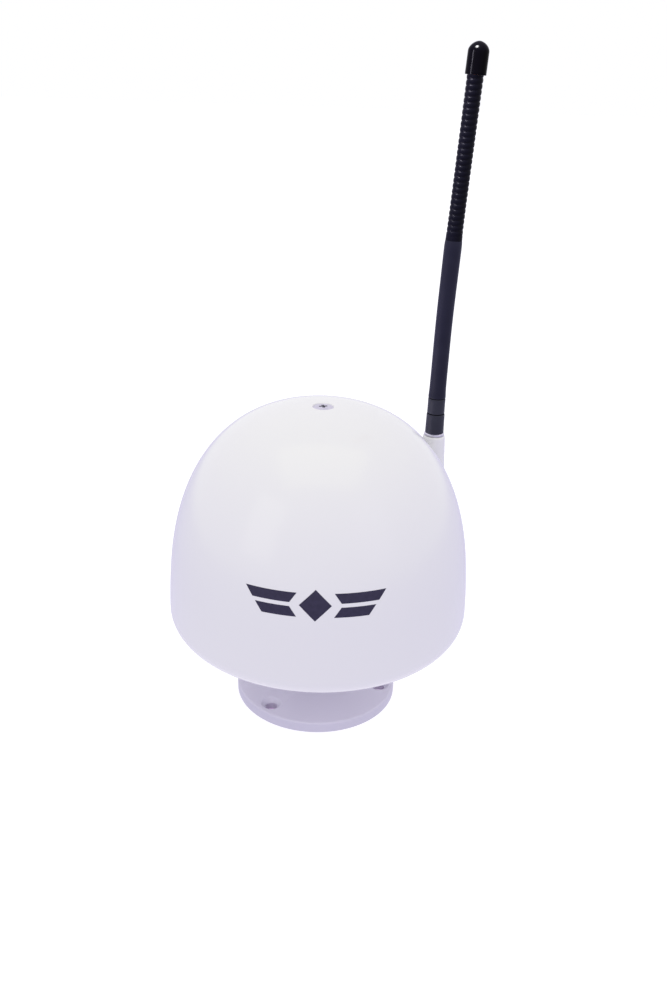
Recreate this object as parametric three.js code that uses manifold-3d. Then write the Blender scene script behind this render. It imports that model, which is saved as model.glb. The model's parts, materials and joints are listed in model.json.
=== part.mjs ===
// A fixed marine antenna: a bell-shaped radome on a round deck flange, with crossed dipoles and an
// amplifier inside, and a flexible whip aerial screwed into a socket at the back right of the dome.
// Millimetres, +Z up, front towards -Y. The origin is the centre of the deck flange's underside.

import * as THREE from 'three';
import { mergeVertices } from 'three/addons/utils/BufferGeometryUtils.js';
import Module from 'manifold-3d';

const wasm = await Module();
wasm.setup();

// ---- driving dimensions ----
const GAP = 0.3;                    // clearance between pieces that meet
const WALL = 3;                     // radome wall
const LARGE = 32;                   // sides of the large round pieces

const DOME_RADIUS = 100;
const RIM_Z = 57;                   // the dome's lowest plane
const EDGE_RADIUS = 15.1;           // rounding of the dome's lower edge
const SHOULDER = 16.9;              // start of the curved outline, above the rim
const RISE = 135.5;                 // from there to the top
const WIDTH_POWER = 2 / 2.483;      // the outline is a superellipse
const HEIGHT_POWER = 2 / 2.38;
const DRAFT = 0.006;                // the wall's taper above the rounded edge
const DRAFT_LENGTH = 25;
const APEX_Z = RIM_Z + SHOULDER + RISE;
const LIP_RADIUS = 79.7;            // opening in the turned-in lower edge

const FLANGE_RADIUS = 55.4;
const FLANGE_THICKNESS = 7.5;
const FLANGE_HOLES = { pitch: 45.3, azimuths: [-130.5, -10.5, 109.5], shank: 4, head: 6.75 };
const NECK_RADIUS = 17;
const SHOULDER_Z = 38;              // top of the neck, under the hub
const SPIGOT = { radius: 14, top: 52, grooveRadius: 12.6, grooveLow: 41, grooveHigh: 49 };
const NECK_SEAT_Z = 2.7;            // the neck stands in the flange from here up
const BORE_RADIUS = 10.5;           // cable way through neck and hub

const FLOOR_LOW = 50.5;             // the base plate's floor
const FLOOR_TOP = 54;
const PAD_TOP = 57;
const SPIGOT_RING = { inner: 73.6, outer: 76.2, top: 61 };

const POST_RADIUS = 16;
const POST_TOP = APEX_Z - 2 * WALL - GAP;
const CARRIER_Z = 128;
const CARRIER_THICKNESS = 4;
const BOARD = { z: 62.3, thickness: 1.6, radius: 30, screwPitch: 24 };
const TOWER_SCREW_PITCH = 48;

const BOSS = { x: 76.9, y: 55.8, top: 172.4, radius: 7.6 };
const BOSS_AZIMUTH = THREE.MathUtils.radToDeg(Math.atan2(BOSS.y, BOSS.x));
const STUD_ENGAGEMENT = 6;          // six turns of a 1 mm thread
const RING_Z = BOSS.top + GAP;
const FERRULE_Z = RING_Z + 1.2 + GAP;
const COLLAR_Z = 188.6;
const FOOT_PIVOT_Z = 199.5;           // the whip bends here
const COIL_PIVOT_Z = 304.7;         // and here, where the wound length starts
const CAP_Z = 401.3;
const WHIP_TOP_Z = 419.7;
const SHAFT_LEAN = 1.4;             // degrees off upright, towards +X
const COIL_LEAN = 3.0;
const WHIP = { ferrule: 6.45, collar: 5.9, shaft: 5.45, coil: 5.1, cap: 6.45, rod: 2.2 };

// ---- materials ----
function material(color, roughness, metalness) {
  return new THREE.MeshStandardMaterial({ color, roughness, metalness });
}
const WHITE_SHELL = material(0xe9e8ee, 0.15, 0);
const WHITE_CAST = material(0xc4bfd0, 0.4, 0);
const PALE_PLASTIC = material(0xd8d8d4, 0.5, 0);
const STEEL = material(0xb8b8bc, 0.3, 1);
const BRASS = material(0xc9a552, 0.35, 1);
const NICKEL = material(0xc8c6be, 0.25, 1);
const COPPER = material(0xb8734a, 0.35, 1);
const ALUMINIUM = material(0xc9cacc, 0.35, 1);
const TINPLATE = material(0xb9bbbd, 0.4, 1);
const RUBBER = material(0x1c1c1e, 0.8, 0);
const BLACK_PLASTIC = material(0x26262e, 0.4, 0);
const BLACK_SLEEVE = material(0x1a1a22, 0.45, 0);
const CIRCUIT_BOARD = material(0x1f5a3a, 0.5, 0);
const GLASS_FIBRE = material(0xd9cfa6, 0.6, 0);

// ---- geometry helpers ----
// Merge shared vertices and drop the triangles that close up at a lathe's axis.
function weld(geometry) {
  const bare = geometry.clone();
  bare.deleteAttribute('normal');
  bare.deleteAttribute('uv');
  const merged = mergeVertices(bare, 1e-3);
  const kept = [];
  const index = merged.index.array;
  for (let i = 0; i < index.length; i += 3) {
    const [a, b, c] = index.slice(i, i + 3);
    if (a !== b && b !== c && c !== a) kept.push(a, b, c);
  }
  merged.setIndex(kept);
  return merged;
}

function toSolid(geometry) {
  const merged = weld(geometry);
  return new wasm.Manifold(new wasm.Mesh({
    numProp: 3,
    vertProperties: new Float32Array(merged.attributes.position.array),
    triVerts: new Uint32Array(merged.index.array),
  }));
}

function toGeometry(solid) {
  const result = solid.getMesh();
  const geometry = new THREE.BufferGeometry();
  geometry.setAttribute('position', new THREE.BufferAttribute(result.vertProperties, 3));
  geometry.setIndex(new THREE.BufferAttribute(result.triVerts, 1));
  return geometry;
}

function join(first, ...others) {
  return toGeometry(others.reduce((sum, other) => sum.add(toSolid(other)), toSolid(first)));
}

function cut(first, ...others) {
  return toGeometry(others.reduce((rest, other) => rest.subtract(toSolid(other)), toSolid(first)));
}

// Spin an outline of [radius, z] points round Z. It runs up the outer side, and either starts and
// ends on the axis or, for a ring, is closed back to its first point.
function revolve(outline, sides = 24) {
  const onAxis = outline[0][0] === 0 && outline.at(-1)[0] === 0;
  const closed = onAxis ? outline : [...outline, outline[0]];
  const points = closed.map(([radius, z]) => new THREE.Vector2(radius, z));
  return new THREE.LatheGeometry(points, sides).rotateX(Math.PI / 2);
}

function rod(radius, low, high, sides = 16) {
  return revolve([[0, low], [radius, low], [radius, high], [0, high]], sides);
}

function ring(inner, outer, low, high, sides = 24) {
  return revolve([[inner, low], [outer, low], [outer, high], [inner, high]], sides);
}

function box(sizeX, sizeY, low, high) {
  return new THREE.BoxGeometry(sizeX, sizeY, high - low).translate(0, 0, (low + high) / 2);
}

function at(geometry, x, y) {
  return geometry.translate(x, y, 0);
}

function polar(radius, azimuth) {
  const angle = THREE.MathUtils.degToRad(azimuth);
  return [radius * Math.cos(angle), radius * Math.sin(angle)];
}

function turned(geometry, azimuth) {
  return geometry.rotateZ(THREE.MathUtils.degToRad(azimuth));
}

// Points of an arc in the [radius, z] plane, angles in degrees from the outward direction.
function arc(centreRadius, centreZ, radius, from, to, steps) {
  return Array.from({ length: steps + 1 }, (_, i) => {
    const angle = THREE.MathUtils.degToRad(from + (to - from) * i / steps);
    return [centreRadius + radius * Math.cos(angle), centreZ + radius * Math.sin(angle)];
  });
}

function wire(points, radius, steps) {
  const section = new THREE.Shape().absarc(0, 0, radius, 0, 2 * Math.PI);
  const path = new THREE.CatmullRomCurve3(points.map((point) => new THREE.Vector3(...point)));
  return new THREE.ExtrudeGeometry(section, { extrudePath: path, steps, curveSegments: 3 });
}

const model = new THREE.Group();

function add(name, geometry, meshMaterial, parent = model) {
  const welded = weld(geometry);
  welded.computeVertexNormals();
  const mesh = new THREE.Mesh(welded, meshMaterial);
  mesh.name = name;
  parent.add(mesh);
}

// ---- the deck flange, and the neck that stands in it ----
function deckFlange() {
  const seatRadius = NECK_RADIUS + GAP;
  const grommetRadius = 12;
  const body = revolve([
    [grommetRadius, 0], [FLANGE_RADIUS - 0.6, 0], [FLANGE_RADIUS, 0.6],
    ...arc(FLANGE_RADIUS - 1.8, FLANGE_THICKNESS - 1.8, 1.8, 0, 90, 3),
    [seatRadius + 2.4, FLANGE_THICKNESS], [seatRadius + 1.2, FLANGE_THICKNESS + 1.4],
    [seatRadius, FLANGE_THICKNESS + 1.4], [seatRadius, NECK_SEAT_Z - GAP],
    [grommetRadius, NECK_SEAT_Z - GAP],
  ], LARGE);
  const screwHoles = FLANGE_HOLES.azimuths.map((azimuth) => at(revolve([
    [0, -1], [FLANGE_HOLES.shank, -1], [FLANGE_HOLES.shank, FLANGE_THICKNESS - 3],
    [FLANGE_HOLES.head, FLANGE_THICKNESS - 0.25], [FLANGE_HOLES.head, FLANGE_THICKNESS + 1],
    [0, FLANGE_THICKNESS + 1],
  ], 14), ...polar(FLANGE_HOLES.pitch, azimuth)));
  const sealGroove = ring(24.7, 28.3, -1, 2.3, 28);
  add('deck_flange', cut(body, ...screwHoles, sealGroove), WHITE_CAST);
  add('deck_seal', ring(25, 28, 0.3, 2, 28), RUBBER);
  const bushRadius = BORE_RADIUS - GAP;
  add('cable_grommet', revolve([
    [3.6, 0.3], [11.7, 0.3], [11.7, 2.1], [bushRadius, 2.1], [bushRadius, 6], [3.6, 6],
  ], 16), RUBBER);
}

function neck() {
  add('neck', revolve([
    [BORE_RADIUS, NECK_SEAT_Z], [NECK_RADIUS, NECK_SEAT_Z], [NECK_RADIUS, SHOULDER_Z],
    [SPIGOT.radius, SHOULDER_Z],
    [SPIGOT.radius, SPIGOT.grooveLow], [SPIGOT.grooveRadius, SPIGOT.grooveLow + 1],
    [SPIGOT.grooveRadius, SPIGOT.grooveHigh - 1], [SPIGOT.radius, SPIGOT.grooveHigh],
    [SPIGOT.radius, SPIGOT.top - 1], [SPIGOT.radius - 1, SPIGOT.top], [BORE_RADIUS, SPIGOT.top],
  ], 24), WHITE_CAST);
}

// ---- the plate that closes the dome, with the hub that turns on the neck ----
const TOWER_SCREW_AZIMUTHS = [90, 210, 330];
const BOARD_SCREW_AZIMUTHS = [45, 135, 225, 315];
const CLAMP_SCREW_AZIMUTHS = [30, 150, 270];
const CLAMP_SCREW_Z = 45;
const RIB_COUNT = 12;

function clampScrew(radius, from, to, azimuth) {
  const screw = rod(radius, from, to, 12).rotateY(Math.PI / 2).translate(0, 0, CLAMP_SCREW_Z);
  return turned(screw, azimuth);
}

function basePlate() {
  const { inner, outer, top } = SPIGOT_RING;
  const plate = revolve([
    [SPIGOT.radius + GAP, SHOULDER_Z + GAP], [24, SHOULDER_Z + GAP], [24, 46], [27, FLOOR_LOW],
    [74, FLOOR_LOW], [79.5, FLOOR_LOW + 3.7], [83, FLOOR_LOW + 3.9], [83, RIM_Z - GAP],
    [outer, RIM_Z - GAP], [outer, top], [inner, top], [inner, FLOOR_TOP], [33, FLOOR_TOP],
    [32, PAD_TOP], [BORE_RADIUS, PAD_TOP], [BORE_RADIUS, SPIGOT.top + GAP],
    [SPIGOT.radius + GAP, SPIGOT.top + GAP],
  ], LARGE);
  const ribLength = 72 - 25;
  const ribs = Array.from({ length: RIB_COUNT }, (_, i) => turned(
    box(ribLength, 2, FLOOR_LOW - 4, FLOOR_LOW + 1).translate(25 + ribLength / 2 - 2, 0, 0),
    (i + 0.5) * 360 / RIB_COUNT));
  const towerBosses = TOWER_SCREW_AZIMUTHS.map((azimuth) =>
    at(rod(5, FLOOR_LOW - 6, FLOOR_LOW + 1, 12), ...polar(TOWER_SCREW_PITCH, azimuth)));
  const boardBosses = BOARD_SCREW_AZIMUTHS.map((azimuth) =>
    at(rod(3.2, PAD_TOP - 1, BOARD.z - GAP, 10), ...polar(BOARD.screwPitch, azimuth)));
  const towerHoles = TOWER_SCREW_AZIMUTHS.map((azimuth) =>
    at(rod(2.2, FLOOR_LOW - 7, FLOOR_TOP + 1, 10), ...polar(TOWER_SCREW_PITCH, azimuth)));
  const boardHoles = BOARD_SCREW_AZIMUTHS.map((azimuth) =>
    at(rod(1.5, PAD_TOP - 2, BOARD.z + 1, 8), ...polar(BOARD.screwPitch, azimuth)));
  const clampHoles = CLAMP_SCREW_AZIMUTHS.map((azimuth) => clampScrew(2.8, 13, 26, azimuth));
  add('base_plate', cut(join(plate, ...ribs, ...towerBosses, ...boardBosses),
    ...towerHoles, ...boardHoles, ...clampHoles), PALE_PLASTIC);

  CLAMP_SCREW_AZIMUTHS.forEach((azimuth, i) => {
    const socket = clampScrew(1.3, 21.5, 25, azimuth);
    add(`clamp_screw_${i + 1}`, cut(clampScrew(2.5, 13, 23.6, azimuth), socket), STEEL);
  });
  const sealRadius = (outer + LIP_RADIUS) / 2;
  const sealOutline = arc(sealRadius, RIM_Z + 1.7, 1.4, 0, 300, 5);
  add('rim_seal', revolve(sealOutline, LARGE), RUBBER);
}

// ---- the radome ----
// The dome's outline from its rounded lower edge to the axis, moved inwards by inset.
function domeOutline(inset) {
  const edge = arc(DOME_RADIUS - EDGE_RADIUS, RIM_Z + EDGE_RADIUS, EDGE_RADIUS - inset, -90, 0, 4);
  const steps = 9;
  const upper = Array.from({ length: steps + 1 }, (_, i) => {
    const angle = (Math.PI / 2) * (1 - (1 - i / steps) ** 1.25);
    const rise = (RISE - inset) * Math.sin(angle) ** HEIGHT_POWER;
    const taper = 1 - DRAFT * Math.min(1, rise / DRAFT_LENGTH);
    const radius = i === steps ? 0 : (DOME_RADIUS - inset) * taper * Math.cos(angle) ** WIDTH_POWER;
    return [radius, RIM_Z + SHOULDER + rise];
  });
  return [...edge, ...upper];
}

// The whip socket: a moulded boss that runs down the back of the wall.
function bossRadius(z) {
  const upper = Math.tan(THREE.MathUtils.degToRad(3));
  const lower = Math.tan(THREE.MathUtils.degToRad(1));
  const knee = 135;
  return BOSS.radius + (BOSS.top - Math.max(z, knee)) * upper + Math.max(0, knee - z) * lower;
}

function bossShape(inset, low, high, lip) {
  const heights = [low + 3, 135, high - lip];
  return at(revolve([
    [0, low], [bossRadius(low) - inset - 1.2, low],
    ...heights.map((z) => [bossRadius(z) - inset, z]),
    [bossRadius(high) - inset - lip * 0.35, high - lip * 0.3],
    [bossRadius(high) - inset - lip, high], [0, high],
  ], 24), BOSS.x, BOSS.y);
}

const SCREW_HEAD_RADIUS = 6.6;
const SCREW_HEAD_DEPTH = 3.6;

function radome() {
  const outside = revolve([[0, RIM_Z], ...domeOutline(0)], LARGE);
  const inside = revolve([
    [0, RIM_Z - 5], [LIP_RADIUS, RIM_Z - 5], [LIP_RADIUS, RIM_Z + WALL], ...domeOutline(WALL),
  ], LARGE);
  const apexBoss = rod(11, POST_TOP + GAP, APEX_Z - 2, 24);
  const screwHole = revolve([
    [0, POST_TOP - 5], [3.3, POST_TOP - 5], [3.3, APEX_Z - 0.2 - SCREW_HEAD_DEPTH],
    [SCREW_HEAD_RADIUS + GAP, APEX_Z - 0.5], [SCREW_HEAD_RADIUS + GAP, APEX_Z + 2], [0, APEX_Z + 2],
  ], 24);
  const boss = bossShape(0, RIM_Z + 1, BOSS.top, 1.2);
  const bossHollow = bossShape(1.9, RIM_Z + 3.5, 151, 0.3);
  const socketBore = at(rod(5.3, 150, BOSS.top + 1, 20), BOSS.x, BOSS.y);
  const shell = join(cut(outside, inside), apexBoss, cut(boss, inside));
  add('radome', cut(shell, bossHollow, socketBore, screwHole), WHITE_SHELL);
}

function apexScrew() {
  const body = revolve([
    [0, 184], [2.9, 184], [2.9, APEX_Z - SCREW_HEAD_DEPTH - 0.1], [SCREW_HEAD_RADIUS, APEX_Z - 0.4],
    [SCREW_HEAD_RADIUS, APEX_Z - 0.1], [SCREW_HEAD_RADIUS - 1, APEX_Z], [0, APEX_Z],
  ], 24);
  const slotDepth = 2.4;
  const cross = [[7, 1.7], [1.7, 7]].map(([x, y]) => box(x, y, APEX_Z - slotDepth, APEX_Z + 1));
  add('apex_screw', cut(body, ...cross), STEEL);
}

// ---- the tower that carries the top screw and the elements ----
function supportTower() {
  const headLow = 182;
  const body = revolve([
    [41, FLOOR_TOP + GAP], [52, FLOOR_TOP + GAP], [52, FLOOR_TOP + 3.5], [44.5, FLOOR_TOP + 3.5],
    [17, 100], [17, CARRIER_Z - 4], [22, CARRIER_Z - 2], [22, CARRIER_Z - GAP],
    [POST_RADIUS, CARRIER_Z - GAP], [POST_RADIUS, POST_TOP - 1], [POST_RADIUS - 1, POST_TOP],
    [6.8, POST_TOP], [6.8, POST_TOP - 2], [3.3, POST_TOP - 2], [3.3, POST_TOP - 5],
    [5.3, POST_TOP - 5], [5.3, headLow], [13, headLow - 4], [13, 102], [41, FLOOR_TOP + 6],
  ], 24);
  const windows = [0, 120, 240].map((offset) =>
    turned(box(40, 18, 63, 84).translate(40, 0, 0), BOSS_AZIMUTH + offset));
  const feedSlot = box(10, 5, 140.5, 151).translate(14, 0, 0);
  const footHoles = TOWER_SCREW_AZIMUTHS.map((azimuth) =>
    at(rod(2.2, FLOOR_TOP - 1, FLOOR_TOP + 5, 10), ...polar(TOWER_SCREW_PITCH, azimuth)));
  add('support_tower', cut(body, ...windows, feedSlot, ...footHoles), PALE_PLASTIC);

  TOWER_SCREW_AZIMUTHS.forEach((azimuth, i) => {
    const head = FLOOR_TOP + 3.5 + GAP;
    const screw = revolve([
      [0, 46], [1.9, 46], [1.9, head], [3.8, head], [3.8, head + 1.6], [2.6, head + 2.4],
      [0, head + 2.4],
    ], 10);
    add(`tower_screw_${i + 1}`, at(screw, ...polar(TOWER_SCREW_PITCH, azimuth)), STEEL);
  });
  add('apex_insert', ring(3.2, 5, 183, POST_TOP - 5 - GAP, 16), BRASS);
  add('apex_seal', ring(4, 6.5, POST_TOP - 1.7, POST_TOP, 20), RUBBER);
}

// ---- crossed dipoles ----
const ARM_AZIMUTHS = [0, 90, 180, 270];
const ARM = { inner: 22, outer: 84, halfAngle: 32, strip: 7, thickness: 1.2 };
const ARM_SCREW_PITCH = 80.5;
const HUB_OUTER = 30;

// A closed loop of flat strip between two radii, spread evenly about its centre line.
function armShape() {
  const half = THREE.MathUtils.degToRad(ARM.halfAngle);
  const shape = new THREE.Shape();
  shape.absarc(0, 0, ARM.outer, -half, half, false);
  shape.absarc(0, 0, ARM.inner, half, -half, true);
  const hole = new THREE.Path();
  const innerEdge = HUB_OUTER + 0.5;
  const outerEdge = ARM.outer - ARM.strip;
  const innerHalf = half - Math.asin(ARM.strip / innerEdge);
  const outerHalf = half - Math.asin(ARM.strip / outerEdge);
  hole.absarc(0, 0, outerEdge, -outerHalf, outerHalf, false);
  hole.absarc(0, 0, innerEdge, innerHalf, -innerHalf, true);
  shape.holes.push(hole);
  return shape;
}

function elements() {
  const top = CARRIER_Z + CARRIER_THICKNESS;
  const hub = ring(POST_RADIUS + GAP, HUB_OUTER, CARRIER_Z, top, 24);
  const arms = ARM_AZIMUTHS.map((azimuth) =>
    turned(box(ARM.outer - 22, 12, CARRIER_Z, top).translate((ARM.outer + 22) / 2, 0, 0), azimuth));
  const holes = ARM_AZIMUTHS.map((azimuth) =>
    at(rod(1.7, CARRIER_Z - 1, top + 1, 6), ...polar(ARM_SCREW_PITCH, azimuth)));
  add('element_carrier', cut(join(hub, ...arms), ...holes), PALE_PLASTIC);

  const armLow = top + GAP;
  ARM_AZIMUTHS.forEach((azimuth, i) => {
    const settings = { depth: ARM.thickness, bevelEnabled: false, curveSegments: 5 };
    const loop = new THREE.ExtrudeGeometry(armShape(), settings).translate(0, 0, armLow);
    const hole = at(rod(1.7, armLow - 1, armLow + 3, 6), ARM_SCREW_PITCH, 0);
    add(`dipole_arm_${i + 1}`, turned(cut(loop, hole), azimuth), ALUMINIUM);

    const head = armLow + ARM.thickness + GAP;
    const screw = revolve([
      [0, CARRIER_Z + 0.5], [1.3, CARRIER_Z + 0.5], [1.3, head], [2.6, head], [2.6, head + 1.8],
      [0, head + 1.8],
    ], 8);
    add(`arm_screw_${i + 1}`, at(screw, ...polar(ARM_SCREW_PITCH, azimuth)), STEEL);
  });

  const boardLow = armLow + ARM.thickness + GAP;
  add('phasing_board', ring(POST_RADIUS + GAP, HUB_OUTER, boardLow, boardLow + 1.6, 24),
    CIRCUIT_BOARD);
  const collarLow = boardLow + 1.6 + GAP;
  add('carrier_collar', ring(POST_RADIUS + GAP, 21, collarLow, 139.6, 24), PALE_PLASTIC);
}

// ---- the amplifier ----
function amplifier() {
  const top = BOARD.z + BOARD.thickness;
  const holes = BOARD_SCREW_AZIMUTHS.map((azimuth) =>
    at(rod(1.6, BOARD.z - 1, top + 1, 8), ...polar(BOARD.screwPitch, azimuth)));
  add('amp_board', cut(rod(BOARD.radius, BOARD.z, top, 24), ...holes), CIRCUIT_BOARD);
  BOARD_SCREW_AZIMUTHS.forEach((azimuth, i) => {
    const head = top + GAP;
    const screw = revolve([
      [0, PAD_TOP], [1.2, PAD_TOP], [1.2, head], [2.8, head], [2.8, head + 1.9], [0, head + 1.9],
    ], 8);
    add(`board_screw_${i + 1}`, at(screw, ...polar(BOARD.screwPitch, azimuth)), STEEL);
  });

  const canSize = 26;
  const canWall = 0.8;
  const canTop = top + 11;
  const canHollow = box(canSize - 2 * canWall, canSize - 2 * canWall, top - 1, canTop + 1);
  add('amp_can', cut(box(canSize, canSize, top + GAP, canTop), canHollow), TINPLATE);
  add('amp_lid', box(canSize + 0.6, canSize + 0.6, canTop + GAP, canTop + GAP + 0.8), TINPLATE);

  // Cable socket: hex nut against the board, threaded barrel pointing down into the neck.
  const socketTop = BOARD.z - GAP;
  const hex = revolve([[0, socketTop - 5], [6.3, socketTop - 5], [6.3, socketTop], [0, socketTop]], 6);
  const barrel = rod(4.7, 43.5, socketTop - 4.5, 20);
  const contactHole = rod(1.8, 43, 50, 12);
  add('output_socket', cut(join(hex, barrel), contactHole), NICKEL);
}

function feedLines() {
  const start = BOARD.z + BOARD.thickness + GAP;
  add('feed_line_dipole', wire([
    [24, 0, start], [23, 0, 72], [14, 0, 90], [9, 0, 105], [9, 0, 130], [10.5, 0, 141],
    [16, 0, 147.3], [22.5, 0, 146], [26, 0, 141], [26, 0, 136.2],
  ], 1.1, 24), COPPER);
  const local = new THREE.Group();
  local.rotation.z = THREE.MathUtils.degToRad(BOSS_AZIMUTH);
  model.add(local);
  add('feed_line_whip', wire([
    [25, 0, start], [27, 0, 69.5], [40, 0, 70.5], [70, 0, 70], [86, 0, 73.5], [92, 0, 84],
    [94.5, 0, 105], [95, 0, 125], [95, 0, 145.2],
  ], 1.1, 24), COPPER, local);
}

// ---- the whip aerial ----
function whipSocket() {
  add('whip_insert', at(revolve([
    [3.3, 146], [4.4, 146], [4.4, 151.3], [5, 151.3], [5, BOSS.top - GAP], [3.3, BOSS.top - GAP],
  ], 20), BOSS.x, BOSS.y), BRASS);
  const nut = cut(rod(6.2, 146.6, 150.5, 6), rod(4.8, 146, 151, 16));
  add('insert_nut', at(nut, BOSS.x, BOSS.y), BRASS);
  add('whip_ring', at(revolve([
    [4.9, RING_Z], [6.7, RING_Z], [6.95, RING_Z + 0.3], [6.95, RING_Z + 0.9], [6.7, RING_Z + 1.2],
    [4.9, RING_Z + 1.2],
  ], 20), BOSS.x, BOSS.y), STEEL);
  add('whip_oring', at(ring(3.4, 4.6, RING_Z, RING_Z + 1.2, 20), BOSS.x, BOSS.y), RUBBER);
}

// Quarter-ball end about the joint's centre, from the rim down to an inner radius.
function ballEnd(radius, inner, steps) {
  const last = THREE.MathUtils.radToDeg(Math.acos(inner / radius));
  return arc(0, 0, radius, 0, last, steps);
}

function whipFoot() {
  const group = new THREE.Group();
  group.position.set(BOSS.x, BOSS.y, FOOT_PIVOT_Z);
  model.add(group);
  const low = FERRULE_Z - FOOT_PIVOT_Z;
  const step = COLLAR_Z - FOOT_PIVOT_Z;
  add('whip_stud', rod(3, BOSS.top - GAP - STUD_ENGAGEMENT - FOOT_PIVOT_Z, step + 4, 16), STEEL, group);
  add('whip_ferrule', revolve([
    [3 + GAP, low], [WHIP.ferrule - 0.3, low], [WHIP.ferrule, low + 0.5], [WHIP.ferrule, step - 0.6],
    [WHIP.ferrule - 0.4, step - GAP], [3 + GAP, step - GAP],
  ], 18), BLACK_PLASTIC, group);
  add('whip_collar', revolve([
    [3 + GAP, step], [WHIP.collar, step], ...ballEnd(WHIP.collar, 2.5, 3), [0, WHIP.collar],
    [0, step + 4 + GAP], [3 + GAP, step + 4 + GAP],
  ], 18), BLACK_PLASTIC, group);
}

// A sleeve whose lower end is hollowed to turn about the ball below it.
function cupEnd(ballRadius, inner, outer, steps) {
  const clear = ballRadius + GAP;
  const from = THREE.MathUtils.radToDeg(Math.acos(inner / clear));
  const to = THREE.MathUtils.radToDeg(Math.acos(outer / clear));
  return arc(0, 0, clear, from, to, steps);
}

function whipShaft() {
  const group = new THREE.Group();
  group.position.set(BOSS.x, BOSS.y, FOOT_PIVOT_Z);
  group.rotation.y = THREE.MathUtils.degToRad(SHAFT_LEAN);
  model.add(group);
  const length = (COIL_PIVOT_Z - FOOT_PIVOT_Z) / Math.cos(THREE.MathUtils.degToRad(SHAFT_LEAN));
  const bore = WHIP.rod + GAP;
  const top = ballEnd(WHIP.shaft, bore, 3).map(([radius, z]) => [radius, z + length]);
  add('whip_shaft', revolve([
    ...cupEnd(WHIP.collar, bore, WHIP.shaft, 3), [WHIP.shaft - 0.15, 25], ...top,
  ], 18), BLACK_SLEEVE, group);
  add('whip_rod', rod(WHIP.rod, WHIP.collar + 2 * GAP, length + 4.2, 12), GLASS_FIBRE, group);
  return length;
}

function whipTop(shaftLength) {
  const shaftLean = THREE.MathUtils.degToRad(SHAFT_LEAN);
  const group = new THREE.Group();
  group.position.set(BOSS.x + shaftLength * Math.sin(shaftLean), BOSS.y, COIL_PIVOT_Z);
  group.rotation.y = THREE.MathUtils.degToRad(COIL_LEAN);
  model.add(group);
  const stretch = 1 / Math.cos(THREE.MathUtils.degToRad(COIL_LEAN));
  const capLow = (CAP_Z - COIL_PIVOT_Z) * stretch;
  const tip = (WHIP_TOP_Z - COIL_PIVOT_Z) * stretch;
  const jacketBore = 4.4;
  const jacketTop = capLow + 7;
  add('whip_coil_jacket', revolve([
    ...cupEnd(WHIP.shaft, jacketBore, WHIP.coil, 2), [WHIP.coil, jacketTop], [jacketBore, jacketTop],
  ], 18), BLACK_SLEEVE, group);
  const core = WHIP.shaft + 3 * GAP;
  add('whip_winding', ring(WHIP.rod + GAP, jacketBore - GAP, core, jacketTop - 2, 16), COPPER, group);
  add('whip_rod_top', rod(WHIP.rod, core, jacketTop - 1, 12), GLASS_FIBRE, group);
  const capBore = WHIP.coil + GAP;
  add('whip_cap', revolve([
    [capBore, capLow], [WHIP.cap - 0.3, capLow], [WHIP.cap, capLow + 0.6], [WHIP.cap, tip - 5.6],
    [WHIP.cap * 0.85, tip - 3.3], [WHIP.cap * 0.5, tip - 1.1], [0, tip], [0, jacketTop + GAP],
    [capBore, jacketTop + GAP],
  ], 18), BLACK_PLASTIC, group);
}

deckFlange();
neck();
basePlate();
radome();
apexScrew();
supportTower();
elements();
amplifier();
feedLines();
whipSocket();
whipFoot();
whipTop(whipShaft());

export default model;
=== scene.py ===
"""Looks of a fixed marine antenna: a glossy white bell-shaped radome on a small deck flange, with a
black whip aerial screwed into a socket at its back right. Metres, +Z up, front towards -Y."""
import json
import math

import bpy
import numpy as np
from mathutils import Matrix, Vector


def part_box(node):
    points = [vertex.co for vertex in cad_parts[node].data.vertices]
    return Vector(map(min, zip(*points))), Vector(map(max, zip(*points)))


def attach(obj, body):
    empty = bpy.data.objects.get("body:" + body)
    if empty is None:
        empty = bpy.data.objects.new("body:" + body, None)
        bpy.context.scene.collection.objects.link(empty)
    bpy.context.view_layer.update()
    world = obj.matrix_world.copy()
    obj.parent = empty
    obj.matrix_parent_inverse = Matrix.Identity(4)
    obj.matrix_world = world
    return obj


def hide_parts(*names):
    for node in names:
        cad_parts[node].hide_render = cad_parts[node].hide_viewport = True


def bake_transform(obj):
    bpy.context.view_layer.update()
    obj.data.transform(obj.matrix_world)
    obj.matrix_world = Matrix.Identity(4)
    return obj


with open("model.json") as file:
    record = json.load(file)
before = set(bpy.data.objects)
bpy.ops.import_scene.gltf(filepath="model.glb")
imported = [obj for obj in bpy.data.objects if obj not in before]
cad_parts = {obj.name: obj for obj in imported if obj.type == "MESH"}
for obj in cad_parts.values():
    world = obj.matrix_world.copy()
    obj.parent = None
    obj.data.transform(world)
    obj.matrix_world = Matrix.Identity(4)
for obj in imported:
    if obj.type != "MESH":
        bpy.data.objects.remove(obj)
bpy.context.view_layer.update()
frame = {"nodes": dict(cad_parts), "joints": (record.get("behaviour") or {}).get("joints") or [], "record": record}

MM = 0.001
SIDES = 192                         # facets round the dome and the flange

# ---- places and sizes read from the frame ----
RADOME_LOW, RADOME_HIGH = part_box("radome")
DOME_RADIUS = RADOME_HIGH.x
RIM_Z = RADOME_LOW.z
APEX_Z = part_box("apex_screw")[1].z
RING_LOW, RING_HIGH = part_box("whip_ring")
BOSS_X = (RING_LOW.x + RING_HIGH.x) / 2
BOSS_Y = (RING_LOW.y + RING_HIGH.y) / 2
GAP = 0.3 * MM
BOSS_TOP = RING_LOW.z - GAP
BOSS_REACH = math.hypot(BOSS_X, BOSS_Y)
BOSS_AZIMUTH = math.atan2(BOSS_Y, BOSS_X)
FLANGE_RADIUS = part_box("deck_flange")[1].x
FLANGE_TOP = 7.5 * MM

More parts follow.
